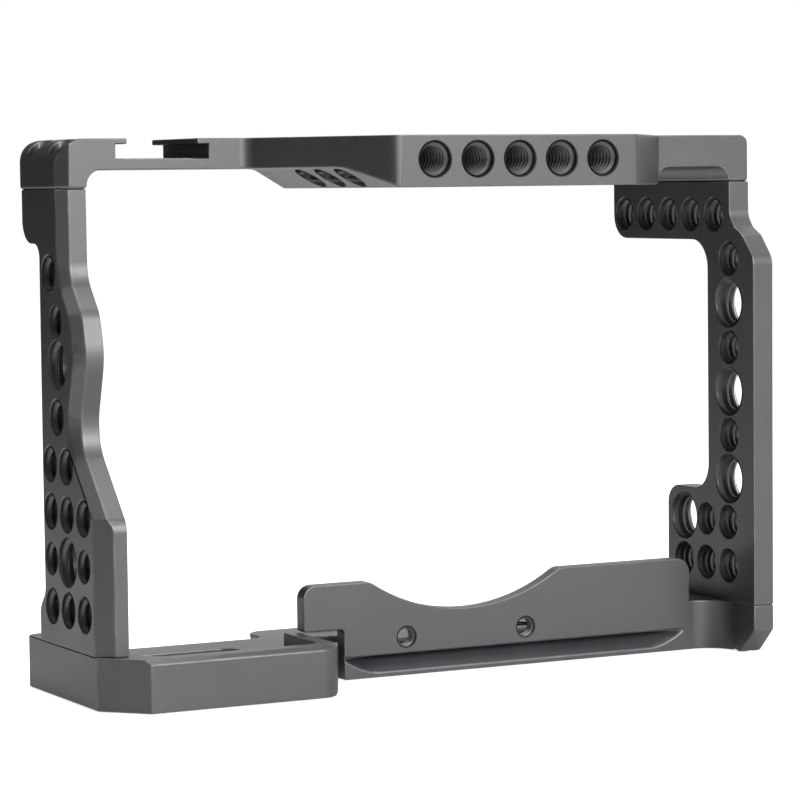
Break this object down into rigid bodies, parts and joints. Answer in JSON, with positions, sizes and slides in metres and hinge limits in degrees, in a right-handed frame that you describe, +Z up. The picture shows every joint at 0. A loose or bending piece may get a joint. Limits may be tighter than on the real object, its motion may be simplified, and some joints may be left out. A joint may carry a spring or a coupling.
{
  "type": "camera cage",
  "caption": "Machined aluminium frame that bolts round a camera body, with threaded holes on every side, an accessory shoe, a notched front lip and a captive camera screw with folding ring.",
  "frame": {"origin": "middle of the bounding box, at the underside of the base", "axes": "+X from the grip side to the port side, -Y towards the lens, +Z up"},
  "size_m": [0.1492, 0.0646, 0.1073],
  "materials": {
    "anodised_black": "bead-blasted and black-grey anodised, with fine broken edges",
    "black_screws": "black-oxide steel",
    "stainless": "turned stainless steel",
    "silicone": "matt moulded silicone",
    "nylon": "natural nylon sheet"
  },
  "bodies": {
    "cage": {"base_plate": "anodised_black", "grip_side_plate": "anodised_black", "port_side_plate": "anodised_black", "top_plate": "anodised_black", "top_screw_grip_front": "black_screws", "top_screw_grip_rear": "black_screws", "top_screw_port_front": "black_screws", "top_screw_port_rear": "black_screws", "base_screw_grip_front": "black_screws", "base_screw_grip_rear": "black_screws", "base_screw_port_front": "black_screws", "base_screw_port_rear": "black_screws", "top_dowel_grip": "stainless", "top_dowel_port": "stainless", "base_dowel_grip": "stainless", "base_dowel_port": "stainless", "camera_pad_front": "silicone", "camera_pad_rear": "silicone"},
    "washer": {"screw_washer": "nylon"},
    "screw": {"camera_screw": "stainless"},
    "ring": {"ring_handle": "stainless"}
  },
  "joints": [
    {"name": "screw_advance", "type": "slide", "parent": "cage", "child": "washer", "axis": [0, 0, 1], "range_m": [-0.00444, 0]},
    {"name": "screw_turn", "type": "hinge", "parent": "washer", "child": "screw", "pos_m": [0.0096, 0.0103, 0.003], "axis": [0, 0, 1], "range_deg": [-1260, 0]},
    {"name": "ring_fold", "type": "hinge", "parent": "screw", "child": "ring", "pos_m": [0.0096, 0.0103, 0.00175], "axis": [-1, 0, 0], "range_deg": [0, 180]}
  ],
  "couplings": [
    {"joint": "screw_turn", "follows": "screw_advance", "rad_per_m": 4947.4}
  ]
}
